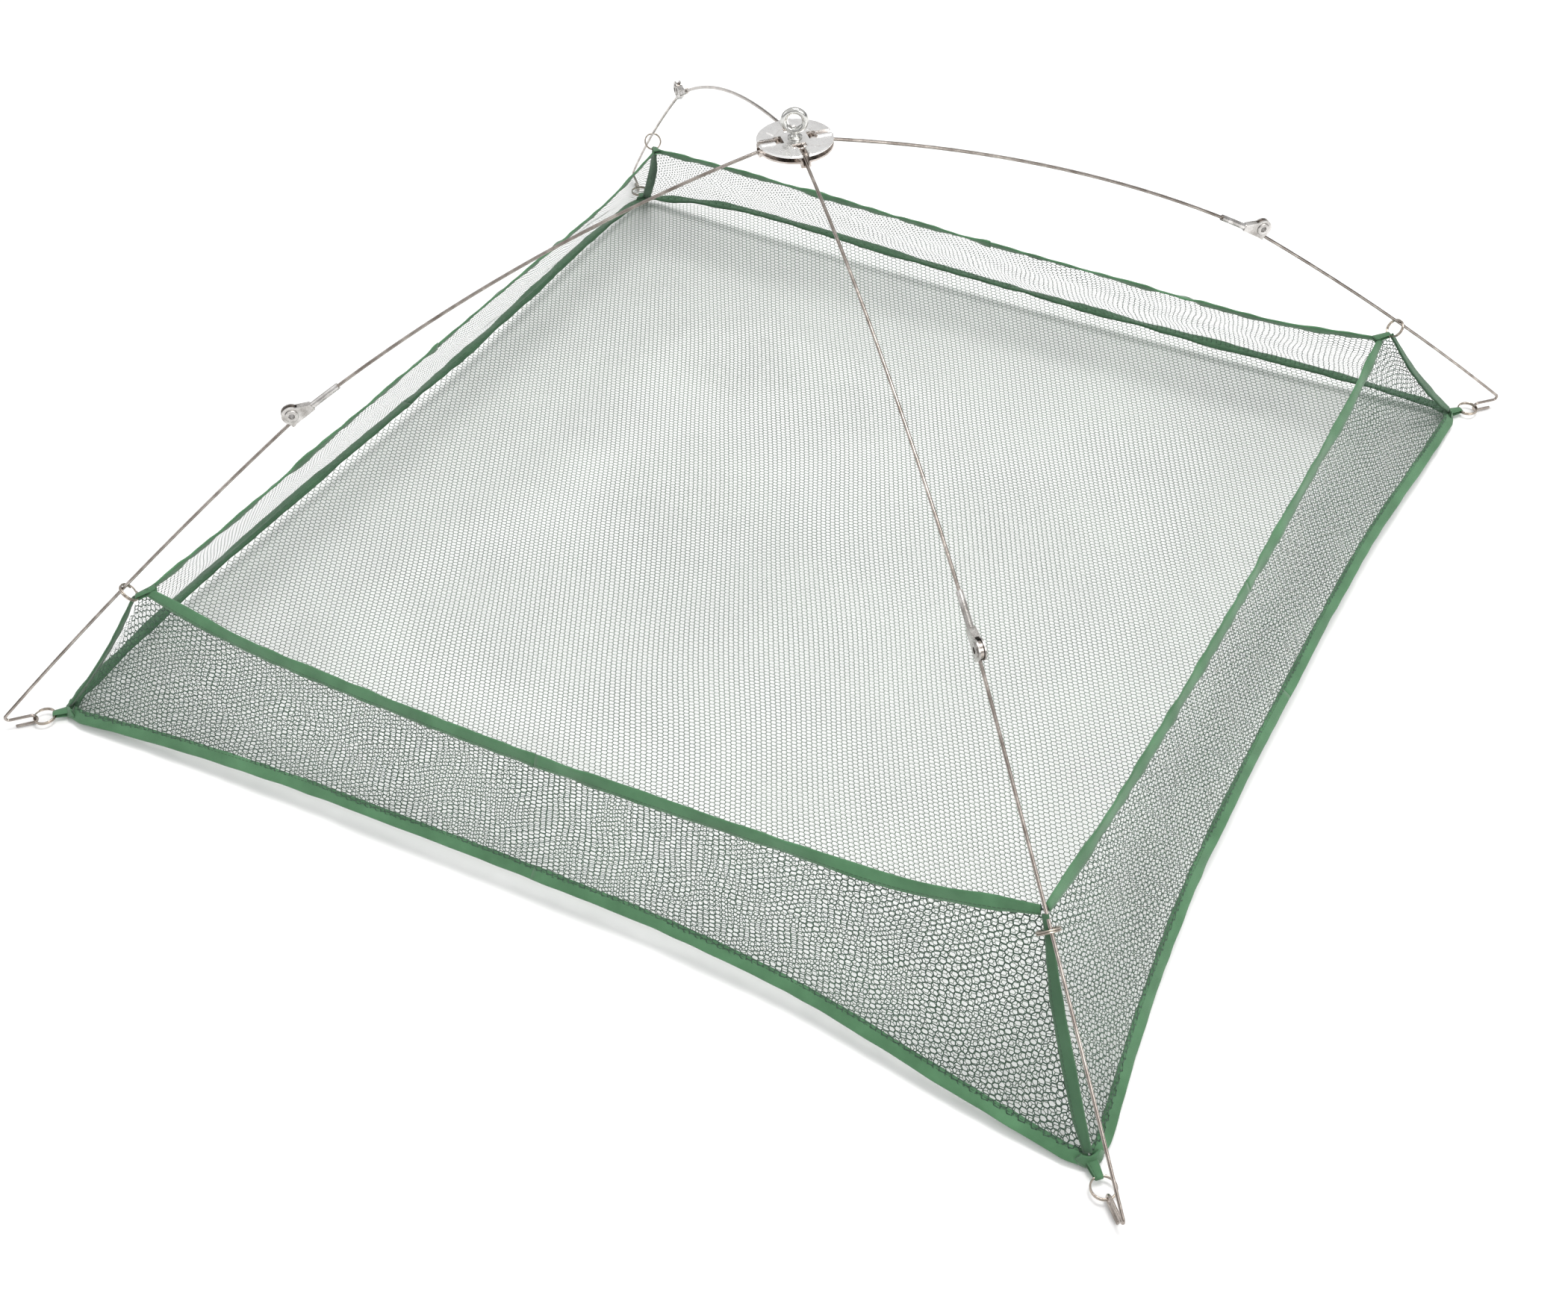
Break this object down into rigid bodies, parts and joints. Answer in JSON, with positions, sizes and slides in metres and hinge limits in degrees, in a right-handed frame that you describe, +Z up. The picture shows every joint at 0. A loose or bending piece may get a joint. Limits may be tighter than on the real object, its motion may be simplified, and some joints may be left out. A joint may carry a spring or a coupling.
{
  "type": "folding crab trap",
  "caption": "Open square drop net on a folding frame: a mesh tray with taped hems hung from jointed spring-wire arms that meet at a stamped hub with a lifting eye",
  "frame": {"origin": "centre of the tray on the ground, under the hub", "axes": "+Z up; the tray's sides run along X and Y, front is -Y; the arms stand over the diagonals"},
  "size_m": [0.68, 0.68, 0.302],
  "materials": {
    "hub_plating": "bright zinc-nickel plating on stamped sheet",
    "eye_plating": "bright plated casting",
    "spring_wire": "plated spring wire, slightly satin",
    "hinge_plating": "plated folded sheet",
    "split_ring": "bright plated ring wire",
    "green_tape": "woven binding tape, slight sheen",
    "net_mesh": "knotless fine mesh net"
  },
  "bodies": {
    "hub_and_tray": {"hub_upper_plate": "hub_plating", "hub_lower_plate": "hub_plating", "hub_spacer": "hub_plating", "net_base": "net_mesh", "net_wall_front": "net_mesh", "top_hem_front": "green_tape", "base_hem_front": "green_tape", "net_wall_right": "net_mesh", "top_hem_right": "green_tape", "base_hem_right": "green_tape", "net_wall_back": "net_mesh", "top_hem_back": "green_tape", "base_hem_back": "green_tape", "net_wall_left": "net_mesh", "top_hem_left": "green_tape", "base_hem_left": "green_tape"},
    "swivel_eye": {"lifting_eye": "eye_plating"},
    "inner_front_left": {"inner_arm_front_left": "spring_wire", "hinge_clevis_front_left": "hinge_plating", "hinge_rivet_front_left": "hinge_plating"},
    "outer_front_left": {"outer_arm_front_left": "spring_wire", "upper_ring_front_left": "split_ring", "corner_binding_front_left": "green_tape"},
    "corner_front_left": {"lower_ring_front_left": "split_ring", "lower_loop_front_left": "green_tape"},
    "inner_front_right": {"inner_arm_front_right": "spring_wire", "hinge_clevis_front_right": "hinge_plating", "hinge_rivet_front_right": "hinge_plating"},
    "outer_front_right": {"outer_arm_front_right": "spring_wire", "upper_ring_front_right": "split_ring", "corner_binding_front_right": "green_tape"},
    "corner_front_right": {"lower_ring_front_right": "split_ring", "lower_loop_front_right": "green_tape"},
    "inner_back_right": {"inner_arm_back_right": "spring_wire", "hinge_clevis_back_right": "hinge_plating", "hinge_rivet_back_right": "hinge_plating"},
    "outer_back_right": {"outer_arm_back_right": "spring_wire", "upper_ring_back_right": "split_ring", "corner_binding_back_right": "green_tape"},
    "corner_back_right": {"lower_ring_back_right": "split_ring", "lower_loop_back_right": "green_tape"},
    "inner_back_left": {"inner_arm_back_left": "spring_wire", "hinge_clevis_back_left": "hinge_plating", "hinge_rivet_back_left": "hinge_plating"},
    "outer_back_left": {"outer_arm_back_left": "spring_wire", "upper_ring_back_left": "split_ring", "corner_binding_back_left": "green_tape"},
    "corner_back_left": {"lower_ring_back_left": "split_ring", "lower_loop_back_left": "green_tape"}
  },
  "joints": [
    {"name": "hub_pivot_front_left", "type": "hinge", "parent": "hub_and_tray", "child": "inner_front_left", "pos_m": [-0.00636, -0.00636, 0.2833], "axis": [-0.7071, 0.7071, 0], "range_deg": [0, 96]},
    {"name": "mid_hinge_front_left", "type": "hinge", "parent": "inner_front_left", "child": "outer_front_left", "pos_m": [-0.1987, -0.1987, 0.1763], "axis": [-0.7071, 0.7071, 0], "range_deg": [0, 48]},
    {"name": "hook_swing_front_left", "type": "hinge", "parent": "outer_front_left", "child": "corner_front_left", "pos_m": [-0.32972, -0.32972, 0.0037], "axis": [-0.7071, 0.7071, 0], "range_deg": [-58.56, 0]},
    {"name": "hub_pivot_front_right", "type": "hinge", "parent": "hub_and_tray", "child": "inner_front_right", "pos_m": [0.00636, -0.00636, 0.2833], "axis": [-0.7071, -0.7071, 0], "range_deg": [0, 96]},
    {"name": "mid_hinge_front_right", "type": "hinge", "parent": "inner_front_right", "child": "outer_front_right", "pos_m": [0.1987, -0.1987, 0.1763], "axis": [-0.7071, -0.7071, 0], "range_deg": [0, 48]},
    {"name": "hook_swing_front_right", "type": "hinge", "parent": "outer_front_right", "child": "corner_front_right", "pos_m": [0.32972, -0.32972, 0.0037], "axis": [-0.7071, -0.7071, 0], "range_deg": [-58.56, 0]},
    {"name": "hub_pivot_back_right", "type": "hinge", "parent": "hub_and_tray", "child": "inner_back_right", "pos_m": [0.00636, 0.00636, 0.2833], "axis": [0.7071, -0.7071, 0], "range_deg": [0, 96]},
    {"name": "mid_hinge_back_right", "type": "hinge", "parent": "inner_back_right", "child": "outer_back_right", "pos_m": [0.1987, 0.1987, 0.1763], "axis": [0.7071, -0.7071, 0], "range_deg": [0, 48]},
    {"name": "hook_swing_back_right", "type": "hinge", "parent": "outer_back_right", "child": "corner_back_right", "pos_m": [0.32972, 0.32972, 0.0037], "axis": [0.7071, -0.7071, 0], "range_deg": [-58.56, 0]},
    {"name": "hub_pivot_back_left", "type": "hinge", "parent": "hub_and_tray", "child": "inner_back_left", "pos_m": [-0.00636, 0.00636, 0.2833], "axis": [0.7071, 0.7071, 0], "range_deg": [0, 96]},
    {"name": "mid_hinge_back_left", "type": "hinge", "parent": "inner_back_left", "child": "outer_back_left", "pos_m": [-0.1987, 0.1987, 0.1763], "axis": [0.7071, 0.7071, 0], "range_deg": [0, 48]},
    {"name": "hook_swing_back_left", "type": "hinge", "parent": "outer_back_left", "child": "corner_back_left", "pos_m": [-0.32972, 0.32972, 0.0037], "axis": [0.7071, 0.7071, 0], "range_deg": [-58.56, 0]},
    {"name": "eye_swivel", "type": "hinge", "parent": "hub_and_tray", "child": "swivel_eye", "pos_m": [0, 0, 0.2924], "axis": [0, 0, 1], "continuous": true}
  ],
  "couplings": [
    {"joint": "mid_hinge_front_left", "follows": "hub_pivot_front_left", "ratio": 0.5},
    {"joint": "hook_swing_front_left", "follows": "hub_pivot_front_left", "ratio": -0.61},
    {"joint": "hub_pivot_front_right", "follows": "hub_pivot_front_left", "ratio": 1},
    {"joint": "mid_hinge_front_right", "follows": "hub_pivot_front_left", "ratio": 0.5},
    {"joint": "hook_swing_front_right", "follows": "hub_pivot_front_left", "ratio": -0.61},
    {"joint": "hub_pivot_back_right", "follows": "hub_pivot_front_left", "ratio": 1},
    {"joint": "mid_hinge_back_right", "follows": "hub_pivot_front_left", "ratio": 0.5},
    {"joint": "hook_swing_back_right", "follows": "hub_pivot_front_left", "ratio": -0.61},
    {"joint": "hub_pivot_back_left", "follows": "hub_pivot_front_left", "ratio": 1},
    {"joint": "mid_hinge_back_left", "follows": "hub_pivot_front_left", "ratio": 0.5},
    {"joint": "hook_swing_back_left", "follows": "hub_pivot_front_left", "ratio": -0.61}
  ]
}
